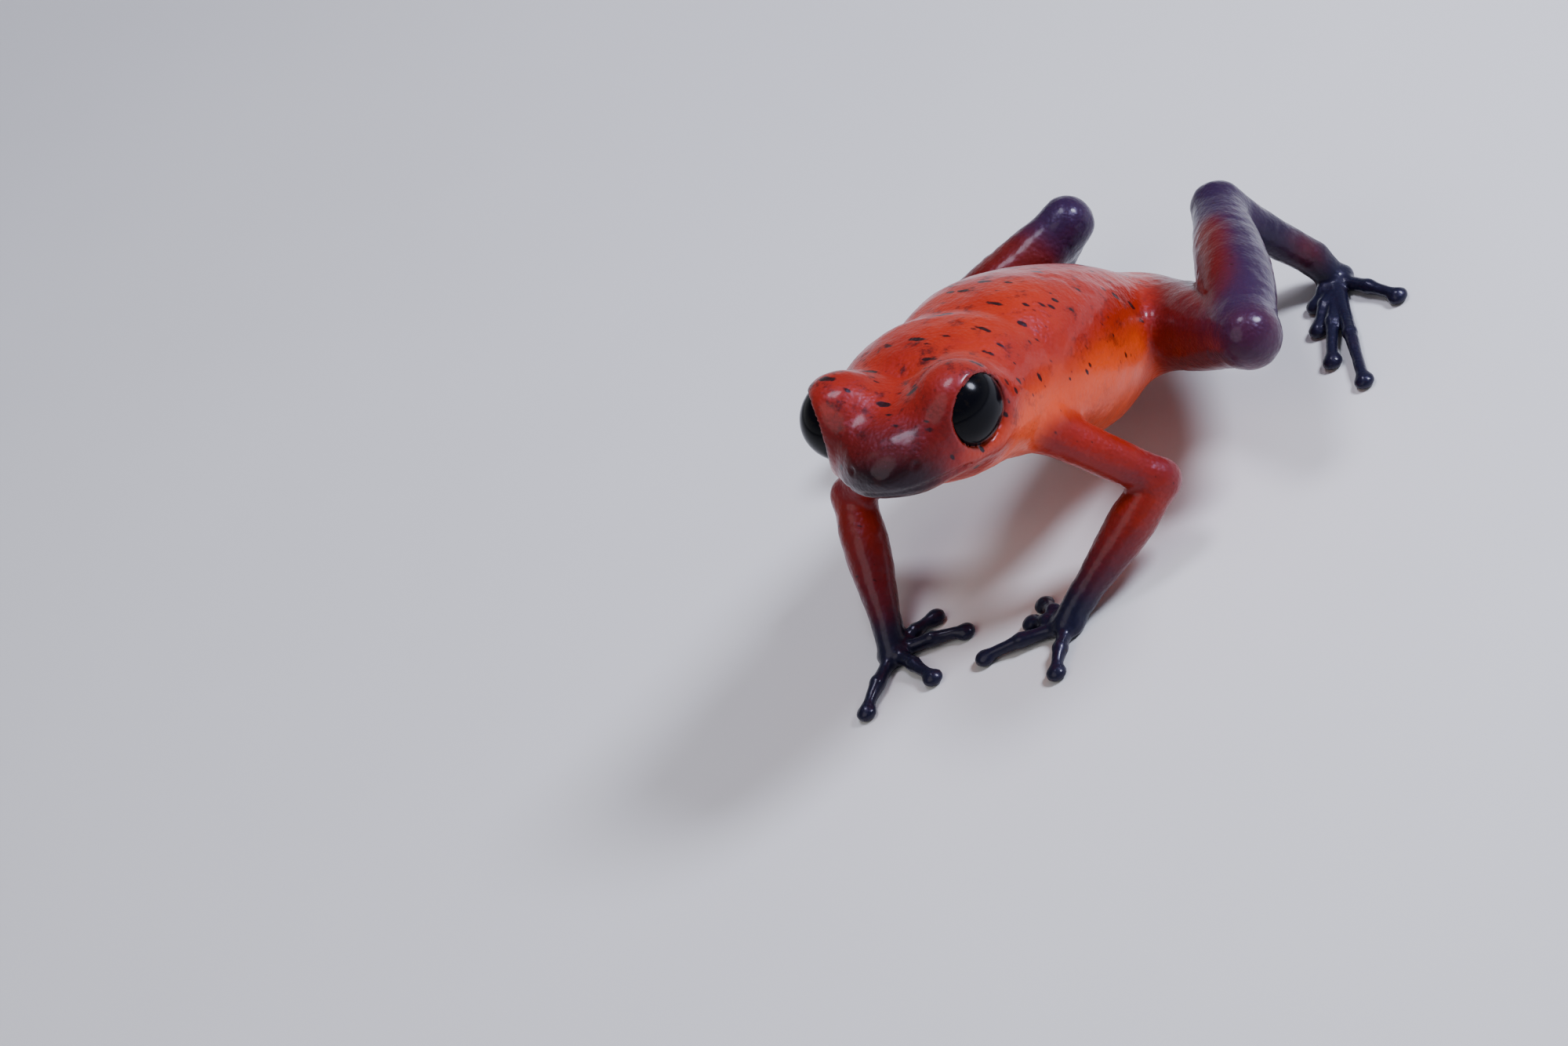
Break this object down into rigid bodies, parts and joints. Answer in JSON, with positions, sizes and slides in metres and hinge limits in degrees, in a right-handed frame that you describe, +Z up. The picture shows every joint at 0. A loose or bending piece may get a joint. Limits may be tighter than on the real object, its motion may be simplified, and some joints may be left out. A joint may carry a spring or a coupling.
{
  "type": "strawberry poison dart frog, still life-size model",
  "caption": "Small red frog with dark blue hands, feet and lower legs, propped on its front legs with head raised and turned, for display on a level surface.",
  "frame": {"origin": "under the middle of the frog's box, on the floor that it stands on", "axes": "+Z up, the frog faces -Y, its left side is +X"},
  "size_m": [0.0218, 0.0222, 0.0125],
  "materials": {
    "skin_back": "wet, finely granular red-orange skin with small dark flecks",
    "skin_head": "wet dark red skin with small dark flecks",
    "skin_arm": "wet red skin turning dark toward the wrist",
    "skin_leg": "wet granular skin, red-brown to purple",
    "skin_foot": "wet navy black skin",
    "eye": "glossy black"
  },
  "bodies": {
    "root": {"torso": "skin_back", "head": "skin_head", "eye_left": "eye", "eye_right": "eye", "upper_arm_left": "skin_arm", "forearm_left": "skin_arm", "hand_left": "skin_foot", "thigh_left": "skin_leg", "shank_left": "skin_leg", "tarsus_left": "skin_foot", "foot_left": "skin_foot", "upper_arm_right": "skin_arm", "forearm_right": "skin_arm", "hand_right": "skin_foot", "thigh_right": "skin_leg", "shank_right": "skin_leg", "tarsus_right": "skin_foot", "foot_right": "skin_foot"}
  },
  "joints": []
}
